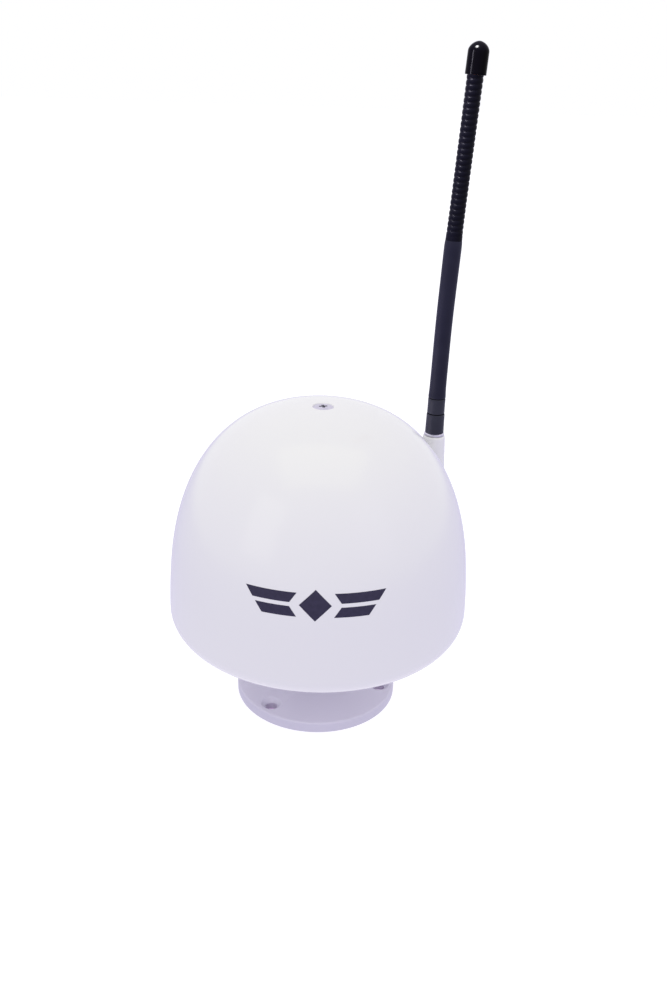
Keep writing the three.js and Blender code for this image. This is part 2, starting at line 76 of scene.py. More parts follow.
# ---- the dome's outline ----
EDGE_RADIUS = 15.1 * MM
SHOULDER = 16.9 * MM
RISE = APEX_Z - RIM_Z - SHOULDER
WIDTH_POWER = 2 / 2.483
HEIGHT_POWER = 2 / 2.38
DRAFT = 0.006
DRAFT_LENGTH = 25 * MM
WALL = 3 * MM
LIP_RADIUS = 79.7 * MM


# ---- mesh helpers ----
def link(name, verts, faces):
    mesh = bpy.data.meshes.new(name)
    mesh.from_pydata([tuple(v) for v in verts], [], faces)
    mesh.validate()
    piece = bpy.data.objects.new(name, mesh)
    bpy.context.scene.collection.objects.link(piece)
    return piece


def shade(piece, sharp_degrees=32):
    mesh = piece.data
    mesh.polygons.foreach_set("use_smooth", [True] * len(mesh.polygons))
    mesh.set_sharp_from_angle(angle=math.radians(sharp_degrees))


def dress(piece, body, slot, material, *nodes):
    piece.data.materials.clear()
    piece.data.materials.append(material)
    if body is not None:
        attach(piece, body)
    if nodes:
        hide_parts(*nodes)
    return piece


def arc(centre_r, centre_z, radius, start, end, steps):
    """Points of an arc in the (radius, z) plane, angles in degrees from straight outwards."""
    angles = np.radians(np.linspace(start, end, steps + 1))
    return [(centre_r + radius * math.cos(a), centre_z + radius * math.sin(a)) for a in angles]


def in_mm(points):
    return [(r * MM, z * MM) for r, z in points]


def rounded(corners, steps=6):
    """A closed outline whose corners (r, z, fillet) are rounded with arcs."""
    points = []
    count = len(corners)
    for i, (r, z, fillet) in enumerate(corners):
        here = Vector((r, z))
        before = Vector(corners[i - 1][:2]) - here
        after = Vector(corners[(i + 1) % count][:2]) - here
        if fillet <= 0 or before.length < 1e-9 or after.length < 1e-9:
            points.append((r, z))
            continue
        half = before.angle(after) / 2
        reach = min(fillet / math.tan(half), before.length * 0.49, after.length * 0.49)
        radius = reach * math.tan(half)
        middle = (before.normalized() + after.normalized()).normalized()
        centre = here + middle * radius / math.sin(half)
        first = here + before.normalized() * reach - centre
        last = here + after.normalized() * reach - centre
        sweep = first.angle_signed(last)
        for k in range(steps + 1):
            points.append(tuple(centre + Matrix.Rotation(-sweep * k / steps, 2) @ first))
    return points


def spin(outline, sides, closed=True, centre=(0, 0)):
    """Faces of an outline of (radius, z) spun round a vertical line. It runs up the outer side."""
    angles = 2 * math.pi * np.arange(sides) / sides
    verts, rings = [], []
    for r, z in outline:
        if r < 1e-7:
            rings.append([len(verts)])
            verts.append((centre[0], centre[1], z))
            continue
        rings.append(list(range(len(verts), len(verts) + sides)))
        verts += [(centre[0] + r * math.cos(a), centre[1] + r * math.sin(a), z) for a in angles]
    pairs = list(zip(rings, rings[1:]))
    if closed:
        pairs.append((rings[-1], rings[0]))
    return verts, [face for low, high in pairs for face in bridge(low, high)]


def bridge(low, high):
    """Faces between two rings of vertices. A ring of one vertex closes to a point."""
    if len(low) == 1 and len(high) == 1:
        return []
    count = max(len(low), len(high))
    faces = []
    for i in range(count):
        j = (i + 1) % count
        if len(low) == 1:
            faces.append((low[0], high[j], high[i]))
        elif len(high) == 1:
            faces.append((low[i], low[j], high[0]))
        else:
            faces.append((low[i], low[j], high[j], high[i]))
    return faces


def settle(piece):
    """Make a piece's modifiers part of its mesh."""
    graph = bpy.context.evaluated_depsgraph_get()
    piece.data = bpy.data.meshes.new_from_object(piece.evaluated_get(graph))
    piece.modifiers.clear()


def combine(piece, operation, others):
    for other in others:
        modifier = piece.modifiers.new(operation, "BOOLEAN")
        modifier.object = other
        modifier.operation = operation
        modifier.solver = "EXACT"
    settle(piece)
    for other in others:
        bpy.data.objects.remove(other)


def cut(piece, *cutters):
    combine(piece, "DIFFERENCE", cutters)


def turn(piece, degrees, axis="Z"):
    piece.data.transform(Matrix.Rotation(math.radians(degrees), 4, axis))
    return piece


def move(piece, x=0.0, y=0.0, z=0.0):
    piece.data.transform(Matrix.Translation((x, y, z)))
    return piece


def rod(radius, low, high, sides, pitch=0.0, azimuth=0.0):
    """An upright cylinder in millimetres, on a pitch circle."""
    points = [(0, low * MM), (radius * MM, low * MM), (radius * MM, high * MM), (0, high * MM)]
    cylinder = link("rod", *spin(points, sides, closed=False))
    return turn(move(cylinder, pitch * MM), azimuth)


# ---- materials ----
def nodes_of(material):
    material.use_nodes = True
    tree = material.node_tree
    return tree, tree.nodes["Principled BSDF"]


def noise(tree, scale, detail=2.0, roughness=0.5, stretch=None):
    """A noise texture in the piece's own metres."""
    place = tree.nodes.new("ShaderNodeTexCoord")
    texture = tree.nodes.new("ShaderNodeTexNoise")
    texture.inputs["Scale"].default_value = scale
    texture.inputs["Detail"].default_value = detail
    texture.inputs["Roughness"].default_value = roughness
    if stretch is None:
        tree.links.new(place.outputs["Object"], texture.inputs["Vector"])
    else:
        mapping = tree.nodes.new("ShaderNodeMapping")
        mapping.inputs["Scale"].default_value = stretch
        tree.links.new(place.outputs["Object"], mapping.inputs["Vector"])
        tree.links.new(mapping.outputs["Vector"], texture.inputs["Vector"])
    return texture.outputs["Fac"]


def spread(tree, value, low, high):
    """Map a noise's middle range to low..high."""
    ramp = tree.nodes.new("ShaderNodeMapRange")
    ramp.interpolation_type = "SMOOTHSTEP"
    ramp.inputs["From Min"].default_value = 0.3
    ramp.inputs["From Max"].default_value = 0.7
    ramp.inputs["To Min"].default_value = low
    ramp.inputs["To Max"].default_value = high
    tree.links.new(value, ramp.inputs["Value"])
    return ramp.outputs["Result"]


def tint(tree, value, first, second):
    """Mix two colours by a noise's middle range."""
    mix = tree.nodes.new("ShaderNodeMix")
    mix.data_type = "RGBA"
    mix.inputs["A"].default_value = (*first, 1)
    mix.inputs["B"].default_value = (*second, 1)
    tree.links.new(spread(tree, value, 0, 1), mix.inputs["Factor"])
    return mix.outputs["Result"]


def bump(tree, layers):
    """Chain bumps of (height value, depth in metres)."""
    normal = None
    for value, depth in layers:
        node = tree.nodes.new("ShaderNodeBump")
        node.inputs["Strength"].default_value = 1.0
        node.inputs["Distance"].default_value = depth
        tree.links.new(value, node.inputs["Height"])
        if normal is not None:
            tree.links.new(normal, node.inputs["Normal"])
        normal = node.outputs["Normal"]
    return normal


def surface(name, tones, roughness, grain, metallic=0.0, coat=0.0, coat_roughness=0.05,
            patch_scale=40.0, ior=1.5, specular=0.5):
    """A moulded, cast or turned surface. tones: two colours that mottle into each other; roughness:
    (low, high); grain: (scale, depth in metres) bumps; specular and coat are the gloss."""
    material = bpy.data.materials.new(name)
    tree, shader = nodes_of(material)
    patches = noise(tree, patch_scale, detail=3.0)
    tree.links.new(tint(tree, patches, *tones), shader.inputs["Base Color"])
    rough = spread(tree, noise(tree, patch_scale * 3.1, detail=4.0), *roughness)
    tree.links.new(rough, shader.inputs["Roughness"])
    layers = [(noise(tree, scale, detail=2.0), depth) for scale, depth in grain]
    tree.links.new(bump(tree, layers), shader.inputs["Normal"])
    shader.inputs["Metallic"].default_value = metallic
    shader.inputs["Coat Weight"].default_value = coat
    shader.inputs["Coat Roughness"].default_value = coat_roughness
    shader.inputs["IOR"].default_value = ior
    shader.inputs["Specular IOR Level"].default_value = specular
    return material


def brushed(name, tones, roughness, stretch, scale=600.0, depth=4e-6):
    """Turned or brushed metal: fine lines, drawn out along the two axes where stretch is small."""
    material = bpy.data.materials.new(name)
    tree, shader = nodes_of(material)
    lines = noise(tree, scale, detail=4.0, roughness=0.6, stretch=stretch)
    tree.links.new(tint(tree, lines, *tones), shader.inputs["Base Color"])
    tree.links.new(spread(tree, lines, *roughness), shader.inputs["Roughness"])
    tree.links.new(bump(tree, [(lines, depth)]), shader.inputs["Normal"])
    shader.inputs["Metallic"].default_value = 1.0
    return material


MATERIALS = {
    "shell_white": surface("shell_white", ((0.750, 0.748, 0.762), (0.754, 0.752, 0.766)),
                           (0.16, 0.20), [(30, 40e-6)], coat=0.25,
                           coat_roughness=0.06, patch_scale=12),
    # the flange's darker lilac grey is partly its own tone and partly painted violet shade from under the dome
    "deck_white": surface("deck_white", ((0.545, 0.525, 0.615), (0.555, 0.535, 0.625)), (0.30, 0.38),
                          [(60, 40e-6), (1500, 4e-6)], patch_scale=30),
    "inner_plastic": surface("inner_plastic", ((0.74, 0.74, 0.73), (0.78, 0.78, 0.77)),
                             (0.42, 0.55), [(1800, 8e-6)]),
    "stainless": brushed("stainless", ((0.56, 0.54, 0.63), (0.67, 0.65, 0.74)), (0.29, 0.42),
                         (1.0, 1.0, 0.15)),
    "brass": brushed("brass", ((0.62, 0.44, 0.16), (0.74, 0.55, 0.24)), (0.29, 0.40),
                     (1.0, 1.0, 0.15)),
    "nickel": brushed("nickel", ((0.60, 0.58, 0.54), (0.70, 0.68, 0.64)), (0.14, 0.26),
                      (1.0, 1.0, 0.15)),
    "copper": brushed("copper", ((0.60, 0.27, 0.15), (0.72, 0.36, 0.22)), (0.29, 0.4),
                      (0.3, 0.3, 1.0)),
    "aluminium": brushed("aluminium", ((0.66, 0.67, 0.68), (0.78, 0.79, 0.80)), (0.29, 0.42),
                         (0.15, 1.0, 1.0)),
    "tinplate": brushed("tinplate", ((0.56, 0.57, 0.58), (0.68, 0.69, 0.70)), (0.29, 0.4),
                        (1.0, 0.15, 1.0)),
    "seal_rubber": surface("seal_rubber", ((0.012, 0.012, 0.013), (0.022, 0.022, 0.024)),
                           (0.55, 0.75), [(2200, 12e-6)]),
    "black_fitting": surface("black_fitting", ((0.016, 0.017, 0.030), (0.022, 0.023, 0.038)),
                             (0.34, 0.46), [(150, 50e-6), (2500, 3e-6)], specular=0.22),
    "black_sleeve": surface("black_sleeve", ((0.009, 0.009, 0.023), (0.013, 0.013, 0.030)),
                            (0.34, 0.46), [(110, 80e-6), (2000, 4e-6)], specular=0.16),
    # near-black without gloss for the sleeve ends: painted shade in the grooves between the whip's sleeves
    "groove_painted_shade": surface("groove_painted_shade", ((0.004, 0.004, 0.007), (0.006, 0.006, 0.009)), (0.8, 0.9),
                          [(2000, 4e-6)], specular=0.0),
    "black_coil": surface("black_coil", ((0.0012, 0.0011, 0.0036), (0.0019, 0.0018, 0.0052)),
                          (0.29, 0.36), [(300, 30e-6), (2000, 3e-6)], specular=0.07),
    "black_cap": surface("black_cap", ((0.0004, 0.0003, 0.0008), (0.0006, 0.0005, 0.0012)),
                         (0.12, 0.18), [(180, 60e-6)], specular=0.035),
    "circuit_board": surface("circuit_board", ((0.008, 0.09, 0.04), (0.012, 0.12, 0.055)),
                             (0.29, 0.38), [(2600, 6e-6)], patch_scale=160),
    "glass_fibre": surface("glass_fibre", ((0.58, 0.52, 0.33), (0.66, 0.60, 0.40)), (0.35, 0.5),
                           [(1600, 6e-6)], patch_scale=300),
    "print_ink": surface("print_ink", ((0.028, 0.025, 0.052), (0.034, 0.030, 0.062)), (0.29, 0.36),
                         [(3000, 2e-6)], patch_scale=400, specular=0.2),
    # darker steel for the cross recess: painted shade from the recess's depth, with some dirt
    "recess_dirt_and_shade": surface("recess_dirt_and_shade", ((0.12, 0.12, 0.15), (0.17, 0.17, 0.20)), (0.35, 0.5),
                            [(3000, 3e-6)], metallic=1.0),
}


# ---- radome ----
def dome_outline(inset, steps):
    """The dome's outline from its rounded lower edge to the axis, moved inwards by inset."""
    edge_steps = 16
    crowding = 1.25                 # brings the points closer together towards the apex
    edge = arc(DOME_RADIUS - EDGE_RADIUS, RIM_Z + EDGE_RADIUS, EDGE_RADIUS - inset, -90, 0, edge_steps)
    upper = []
    for i in range(steps):
        angle = math.pi / 2 * (1 - (1 - i / steps) ** crowding)
        rise = (RISE - inset) * math.sin(angle) ** HEIGHT_POWER
        taper = 1 - DRAFT * min(1, rise / DRAFT_LENGTH)
        radius = (DOME_RADIUS - inset) * taper * math.cos(angle) ** WIDTH_POWER
        upper.append((radius, RIM_Z + SHOULDER + rise))
    return edge + upper


OUTLINE = dome_outline(0, 70)
INSIDE = dome_outline(WALL, 30)


def outline_radius(z):
    return float(np.interp(z, [z for _, z in OUTLINE], [r for r, _ in OUTLINE]))


def inside_height(radius):
    return float(np.interp(radius, [r for r, _ in INSIDE][::-1], [z for _, z in INSIDE][::-1]))


def boss_radius(z):
    """The whip boss tapers by 3 degrees a side near its top and by 1 degree below."""
    knee = 135 * MM
    top_radius = 7.6 * MM
    upper = (BOSS_TOP - max(z, knee)) * math.tan(math.radians(3))
    return top_radius + upper + max(0, knee - z) * math.tan(math.radians(1))


BOSS_FOOT_Z = RIM_Z + 1 * MM
WEB_TOP_Z = 163 * MM                # the boss stands free of the dome above here
FILLET_STEPS = 12
FRONT_STEPS = 28


def fillet_radius(z):
    """The fillet between the boss and the dome's wall tightens towards the web's top."""
    shrink_from, widest, tightest = 140 * MM, 8 * MM, 2.6 * MM
    share = min(max((z - shrink_from) / (WEB_TOP_Z - shrink_from), 0), 1)
    return tightest + (widest - tightest) * math.sqrt(1 - share * share)


def boss_slice(z):
    """In a level slice, the outline where the boss joins the dome, with the boss towards +X. Returns
    the dome's tangent angle, and the points from one tangent point round the boss to the other."""
    dome_r, boss_r, blend = outline_radius(z), boss_radius(z), fillet_radius(z)
    x = ((dome_r + blend) ** 2 - (boss_r + blend) ** 2 + BOSS_REACH ** 2) / (2 * BOSS_REACH)
    y = math.sqrt(max((dome_r + blend) ** 2 - x * x, 0))
    dome_angle = math.atan2(y, x)
    boss_angle = math.atan2(y, x - BOSS_REACH)
    fillet = []
    for k in range(FILLET_STEPS + 1):
        share = k / FILLET_STEPS
        angle = math.pi + dome_angle + (boss_angle - dome_angle) * share
        fillet.append((x + blend * math.cos(angle), y + blend * math.sin(angle)))
    round_boss = []
    for k in range(1, FRONT_STEPS):
        angle = boss_angle * (1 - 2 * k / FRONT_STEPS)
        round_boss.append((BOSS_REACH + boss_r * math.cos(angle), boss_r * math.sin(angle)))
    lower_fillet = [(px, -py) for px, py in reversed(fillet)]
    points = fillet + round_boss + lower_fillet
    return dome_angle, points[::-1]


def radome():
    """The shell with its wall, lower lip, screw seat and whip boss. Each ring starts with the dome's
    arc away from the boss and ends with a front arc, which swells round the boss where they join."""
    front_count = 2 * (FILLET_STEPS + 1) + FRONT_STEPS - 1
    towards_boss = Matrix.Rotation(BOSS_AZIMUTH, 4, "Z")
    verts, faces = [], []

    def add(points, z):
        start = len(verts)
        verts.extend(towards_boss @ Vector((x, y, z)) for x, y in points)
        return list(range(start, len(verts)))

    def dome_arc(radius, half):
        angles = np.linspace(half, 2 * math.pi - half, SIDES)
        return [(radius * math.cos(a), radius * math.sin(a)) for a in angles]

    def front_arc(radius, half):
        angles = np.linspace(-half, half, front_count)[1:-1]
        return [(radius * math.cos(a), radius * math.sin(a)) for a in angles]

    def plain_ring(radius, z, half):
        return add(dome_arc(radius, half) + front_arc(radius, half), z)

    seat_r, seat_z = 7.0 * MM, APEX_Z - 0.15 * MM
    shank_r = 3.3 * MM
    screw_boss_r = 11 * MM
    screw_boss_z = APEX_Z - 2 * WALL
    foot_half, foot_points = boss_slice(BOSS_FOOT_Z)
    top_half = boss_slice(WEB_TOP_Z)[0]

    lip = [(LIP_RADIUS, RIM_Z + WALL), (LIP_RADIUS, RIM_Z + 0.6 * MM),
           (LIP_RADIUS + 0.2 * MM, RIM_Z + 0.15 * MM), (LIP_RADIUS + 0.6 * MM, RIM_Z)]
    below = lip + [(r, z) for r, z in OUTLINE if z < BOSS_FOOT_Z]
    below.append((outline_radius(BOSS_FOOT_Z), BOSS_FOOT_Z))
    joined = [z for _, z in OUTLINE if BOSS_FOOT_Z < z < WEB_TOP_Z - 8 * MM]
    joined += [WEB_TOP_Z - 7.5 * MM * (1 - math.sin(a)) for a in np.linspace(0, 1.5, 20)]
    above = [(outline_radius(WEB_TOP_Z), WEB_TOP_Z)]
    above += [(r, z) for r, z in OUTLINE if z > WEB_TOP_Z and r > seat_r]

    rings = [plain_ring(r, z, foot_half) for r, z in below]
    for low, high in zip(rings, rings[1:]):
        faces.extend(bridge(low, high))

    def joined_ring(z):
        half, points = boss_slice(z)
        return add(dome_arc(outline_radius(z), half) + points[1:-1], z)

    # The boss's flat foot: a crescent between the plain ring and the first joined one.
    previous = rings[-1]
    swell = add(foot_points[1:-1], BOSS_FOOT_Z)
    faces.append(previous[SIDES - 1:] + [previous[0]] + swell[::-1])
    ring = previous[:SIDES] + swell
    for z in [*joined, WEB_TOP_Z]:
        following = joined_ring(z)
        faces.extend(bridge(ring, following))
        ring = following

    # At the web's top the boss and the dome part: the dome's arc is kept, the front arc closes it.
    radius = outline_radius(WEB_TOP_Z)
    front = add(front_arc(radius, top_half), WEB_TOP_Z)
    fillets = ring[SIDES:]
    near = FILLET_STEPS
    boss_outer = fillets[near - 1:len(fillets) - near + 1]
    boss_r = boss_radius(WEB_TOP_Z)
    first = Vector(verts[boss_outer[0]]) - towards_boss @ Vector((BOSS_REACH, 0, WEB_TOP_Z))
    start_angle = abs((towards_boss.inverted() @ first).angle(Vector((1, 0, 0))))
    closing_angles = np.linspace(start_angle, 2 * math.pi - start_angle, 12)[1:-1]
    closing = add([(BOSS_REACH + boss_r * math.cos(a), boss_r * math.sin(a))
                   for a in closing_angles], WEB_TOP_Z)
    web = [ring[SIDES - 1]] + fillets[:near] + closing[::-1] + fillets[len(fillets) - near:]
    web += [ring[0]] + front[::-1]
    faces.append(web)

    # The free part of the boss, up to its rounded lip and down its bore.
    boss_ring = boss_outer + closing
    angles = [math.atan2(*(towards_boss.inverted() @ Vector(verts[i]) - Vector((BOSS_REACH, 0, 0))).yx)
              for i in boss_ring]
    lip_round = 1.1 * MM
    bore_r = 5.3 * MM
    levels = [(boss_radius(z), z) for z in np.linspace(WEB_TOP_Z, BOSS_TOP - lip_round, 8)[1:]]
    levels += arc(boss_radius(BOSS_TOP) - lip_round, BOSS_TOP - lip_round, lip_round, 10, 90, 6)
    levels += [(bore_r + 0.35 * MM, BOSS_TOP), (bore_r, BOSS_TOP - 0.35 * MM), (bore_r, 151 * MM)]
    low = boss_ring
    for r, z in levels:
        high = add([(BOSS_REACH + r * math.cos(a), r * math.sin(a)) for a in angles], z)
        faces.extend(bridge(low, high))
        low = high
    faces.append(low)

    # The dome above the web, the screw seat, and the inner surface back to the lip.
    ring = ring[:SIDES] + front
    seat = [(seat_r, seat_z), (shank_r, APEX_Z - 3.9 * MM), (shank_r, screw_boss_z),
            (screw_boss_r, screw_boss_z), (screw_boss_r, inside_height(screw_boss_r))]
    beyond_boss = [(r, z) for r, z in INSIDE
                   if z < screw_boss_z + 2.4 * MM or r > screw_boss_r + 0.5 * MM]
    for r, z in above[1:] + seat + beyond_boss[::-1]:
        following = plain_ring(r, z, top_half)
        faces.extend(bridge(ring, following))
        ring = following
    faces.extend(bridge(ring, rings[0]))
    piece = link("radome_shell", verts, faces)
    shade(piece, 28)
    return dress(piece, "head", "shell_white", MATERIALS["shell_white"], "radome")


# ---- top screw ----
def wedge(name, reach, width, top, bottom, taper):
    """One bar of a cross recess, narrower at its bottom."""
    verts = [(x * reach * k, y * width / 2 * k, z)
             for z, k in ((bottom, taper), (top, 1)) for x, y in ((-1, -1), (1, -1), (1, 1), (-1, 1))]
    faces = [(3, 2, 1, 0), (4, 5, 6, 7)]
    faces += [(i, (i + 1) % 4, (i + 1) % 4 + 4, i + 4) for i in range(4)]
    return link(name, verts, faces)


def apex_screw():
    low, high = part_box("apex_screw")
    head = high.x
    outline = [(0, low.z), (2.4 * MM, low.z), (2.9 * MM, low.z + 0.6 * MM),
               (2.9 * MM, APEX_Z - 3.7 * MM)]
    outline += arc(head - 0.5 * MM, APEX_Z - 0.9 * MM, 0.5 * MM, -40, 75, 6)
    outline += [(head * 0.62, APEX_Z - 0.12 * MM), (head * 0.3, APEX_Z - 0.02 * MM), (0, APEX_Z)]
    piece = link("apex_screw_head", *spin(outline, 96, closed=False))
    bars = []
    reach, floor_z = 2.9 * MM, APEX_Z - 2.8 * MM
    for degrees in (12, 102):
        bars.append(turn(wedge("bar", reach, 1.9 * MM, APEX_Z + 0.4 * MM, floor_z, 0.45), degrees))
    cut(piece, *bars)
    shade(piece, 25)
    dress(piece, "head", "stainless", MATERIALS["stainless"], "apex_screw")
    # faces inside the cross recess take the darker steel, which paints the recess's shade and some dirt
    piece.data.materials.append(MATERIALS["recess_dirt_and_shade"])
    for face in piece.data.polygons:
        inside = face.center.xy.length < reach and floor_z - MM < face.center.z < APEX_Z - 0.1 * MM
        face.material_index = int(inside)


# ---- deck flange and neck ----
FLANGE_HOLE_AZIMUTHS = (-130.5, -10.5, 109.5)
FLANGE_PITCH = 45.3 * MM


def countersink(x, y):
    """The space of a countersunk screw, with the flange's edge round it a little rounded."""
    outline = [(0, -1 * MM), (4 * MM, -1 * MM), (4 * MM, FLANGE_TOP - 3 * MM)]
    outline += [(6.45 * MM, FLANGE_TOP - 0.55 * MM), (6.7 * MM, FLANGE_TOP - 0.3 * MM),
                (6.95 * MM, FLANGE_TOP - 0.12 * MM), (7.35 * MM, FLANGE_TOP)]
    outline += [(7.6 * MM, FLANGE_TOP + 1 * MM), (0, FLANGE_TOP + 1 * MM)]
    return link("countersink", *spin(outline, 64, closed=False, centre=(x, y)))


def deck_flange():
    seat, edge, top = 17.3, FLANGE_RADIUS / MM, FLANGE_TOP / MM
    collar_top = top + 1.4
    corners = [(12, 0, 0.3), (24.7, 0, 0), (24.7, 2.3, 0.2), (28.3, 2.3, 0.2), (28.3, 0, 0),
               (edge, 0, 0.7), (edge, top, 1.5), (seat + 2.4, top, 1.2),
               (seat + 1.2, collar_top, 0.4), (seat, collar_top, 0.2), (seat, 2.4, 0),
               (12, 2.4, 0.2)]
    outline = rounded([(r * MM, z * MM, fillet * MM) for r, z, fillet in corners], 7)
    piece = link("deck_flange_disc", *spin(outline, SIDES))
    holes = []
    for azimuth in FLANGE_HOLE_AZIMUTHS:
        angle = math.radians(azimuth)
        holes.append(countersink(FLANGE_PITCH * math.cos(angle), FLANGE_PITCH * math.sin(angle)))
    cut(piece, *holes)
    shade(piece)
    dress(piece, "mount", "deck_white", MATERIALS["deck_white"], "deck_flange")


def turned_piece(name, corners, body, slot, *nodes, sides=96, centre=(0, 0), steps=5):
    """A piece turned from corners (r, z, fillet) in millimetres."""
    outline = rounded([(r * MM, z * MM, fillet * MM) for r, z, fillet in corners], steps)
    piece = link(name, *spin(outline, sides, centre=centre))
    shade(piece)
    return dress(piece, body, slot, MATERIALS[slot], *nodes)


def neck():
    turned_piece("neck_stub", [
        (10.5, 2.7, 0.3), (17, 2.7, 0.3), (17, 38, 0.6), (14, 38, 0.3), (14, 41, 0.2),
        (12.6, 42, 0.3), (12.6, 48, 0.3), (14, 49, 0.2), (14, 52, 1.0), (10.5, 52, 0.4)],
        "mount", "deck_white", "neck", sides=128)
    turned_piece("deck_seal_ring", [(25, 0.3, 0.5), (28, 0.3, 0.5), (28, 2, 0.5), (25, 2, 0.5)],
                 "mount", "seal_rubber", "deck_seal", sides=128)
    turned_piece("grommet_bush", [
        (3.6, 0.3, 0.5), (11.7, 0.3, 0.4), (11.7, 2.1, 0.4), (10.2, 2.1, 0.3), (10.2, 6, 0.8),
        (3.6, 6, 0.6)], "mount", "seal_rubber", "cable_grommet")


# ---- base plate, whose hub turns on the neck (in millimetres and degrees) ----
RIB_COUNT = 12
HUB_SCREW_Z = 45
HUB_SCREW_AZIMUTHS = (30, 150, 270)
TOWER_SCREW_AZIMUTHS = (90, 210, 330)
TOWER_SCREW_PITCH = 48
BOARD_SCREW_AZIMUTHS = (45, 135, 225, 315)
BOARD_SCREW_PITCH = 24


def ribs():
    """Ribs under the floor, from the hub outwards: narrower below, their outer ends run out."""
    top, low, run_out = 51.5, 46.5, (63, 70.5)
    end_depth = 0.7
    verts, faces = [], []
    for i in range(RIB_COUNT):
        angle = 2 * math.pi * (i + 0.5) / RIB_COUNT
        rings = []
        for r in (23, 30, 40, 50, 58, *np.linspace(*run_out, 7)):
            rise = max(0, (r - run_out[0]) / (run_out[1] - run_out[0]))
            foot = low + (top - end_depth - low) * (1 - math.sqrt(1 - rise * rise))
            ring = []
            for y, z in ((-1, top), (-0.85, foot + 0.3), (-0.55, foot), (0.55, foot),
                         (0.85, foot + 0.3), (1, top)):
                ring.append(len(verts))
                verts.append(((r * math.cos(angle) - y * math.sin(angle)) * MM,
                              (r * math.sin(angle) + y * math.cos(angle)) * MM, z * MM))
            rings.append(ring)
        faces += [rings[0][::-1], rings[-1]]
        for first, second in zip(rings, rings[1:]):
            faces += bridge(first, second)
    return link("ribs", verts, faces)


def base_plate():
    corners = [(14.3, 38.3, 0.3), (24, 38.3, 1.2), (24, 46, 2), (27, 50.5, 1.5), (74, 50.5, 1.5),
               (79.5, 54.2, 1), (83, 54.4, 0.7), (83, 56.7, 0.3), (76.2, 56.7, 0.3), (76.2, 61, 0.5),
               (73.6, 61, 0.5), (73.6, 54, 1), (33, 54, 1), (32, 57, 0.6), (10.5, 57, 0.4),
               (10.5, 52.3, 0.2), (14.3, 52.3, 0.2)]
    outline = rounded([(r * MM, z * MM, fillet * MM) for r, z, fillet in corners], 5)
    piece = link("base_plate_moulding", *spin(outline, SIDES))
    bosses = [rod(5, 44.5, 51.5, 40, TOWER_SCREW_PITCH, a) for a in TOWER_SCREW_AZIMUTHS]
    bosses += [rod(3.2, 56, 62, 32, BOARD_SCREW_PITCH, a) for a in BOARD_SCREW_AZIMUTHS]
    combine(piece, "UNION", [ribs(), *bosses])
    holes = [rod(2.2, 43, 55, 32, TOWER_SCREW_PITCH, a) for a in TOWER_SCREW_AZIMUTHS]
    holes += [rod(1.5, 55, 64, 24, BOARD_SCREW_PITCH, a) for a in BOARD_SCREW_AZIMUTHS]
    holes += [turn(move(turn(rod(2.8, 12, 26, 32), 90, "Y"), z=HUB_SCREW_Z * MM), a)
              for a in HUB_SCREW_AZIMUTHS]
    cut(piece, *holes)
    shade(piece)
    dress(piece, "head", "inner_plastic", MATERIALS["inner_plastic"], "base_plate")


def hub_screws():
    """Hexagon socket set screws that stop the hub coming off the neck."""
    for number, azimuth in enumerate(HUB_SCREW_AZIMUTHS, 1):
        outline = in_mm([(0, 13.3), (1.5, 13.3), (2.5, 14.3), (2.5, 23.1), (2.1, 23.6), (0, 23.6)])
        name = f"clamp_screw_{number}"
        piece = link(f"hub_set_screw_{number}", *spin(outline, 40, closed=False))
        cut(piece, rod(1.45, 20.6, 25, 6))
        move(turn(piece, 90, "Y"), z=HUB_SCREW_Z * MM)
        turn(piece, azimuth)
        shade(piece, 25)
        dress(piece, "head", "stainless", MATERIALS["stainless"], name)


# ---- whip aerial ----
FOOT_PIVOT_Z = next(j for j in frame["joints"] if j["name"] == "foot_flex")["pos_m"][2]
COIL_PIVOT_Z = next(j for j in frame["joints"] if j["name"] == "coil_flex")["pos_m"][2]
COLLAR_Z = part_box("whip_collar")[0].z
FERRULE_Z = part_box("whip_ferrule")[0].z
WHIP_TOP_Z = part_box("whip_cap")[1].z
SHAFT_LEAN = math.radians(1.55)     # the whip leans outwards, a little more at each joint
COIL_LEAN = math.radians(3.05)
SHAFT_BOW = math.radians(0.75)      # and its shaft sags inwards halfway up
FOOT_BEND = 12 * MM                 # half the length that bends at the foot
COIL_BEND = 25 * MM
SHAFT_MIDDLE_Z = (FOOT_PIVOT_Z + COIL_PIVOT_Z) / 2
AXIS_Z = np.linspace(RING_LOW.z - 20 * MM, WHIP_TOP_Z + 5 * MM, 2500)


def ease(value):
    t = np.clip(value, 0, 1)
    return t * t * (3 - 2 * t)


def whip_lean(z):
    bend_low, bend_length = 0.7 * FOOT_BEND, 2.2 * FOOT_BEND
    foot = ease((z - FOOT_PIVOT_Z + bend_low) / bend_length)
    coil = ease((z - COIL_PIVOT_Z + COIL_BEND) / (2 * COIL_BEND))
    along = np.clip((z - FOOT_PIVOT_Z) / (COIL_PIVOT_Z - FOOT_PIVOT_Z), 0, 1)
    bow = -SHAFT_BOW * np.sin(2 * math.pi * along)
    return SHAFT_LEAN * foot + (COIL_LEAN - SHAFT_LEAN) * coil + bow


AXIS_SHIFT = np.concatenate([[0], np.cumsum(np.tan(whip_lean(AXIS_Z[:-1])) * np.diff(AXIS_Z))])


def whip_points(z, radius, sides):
    """A ring square to the whip's line at height z. radius is a number or one value a side."""
    angles = 2 * math.pi * np.arange(sides) / sides
    lean = float(whip_lean(z))
    across = radius * np.cos(angles)
    shift = float(np.interp(z, AXIS_Z, AXIS_SHIFT))
    return np.column_stack([BOSS_X + shift + across * math.cos(lean),
                            BOSS_Y + radius * np.sin(angles), z - across * math.sin(lean)])


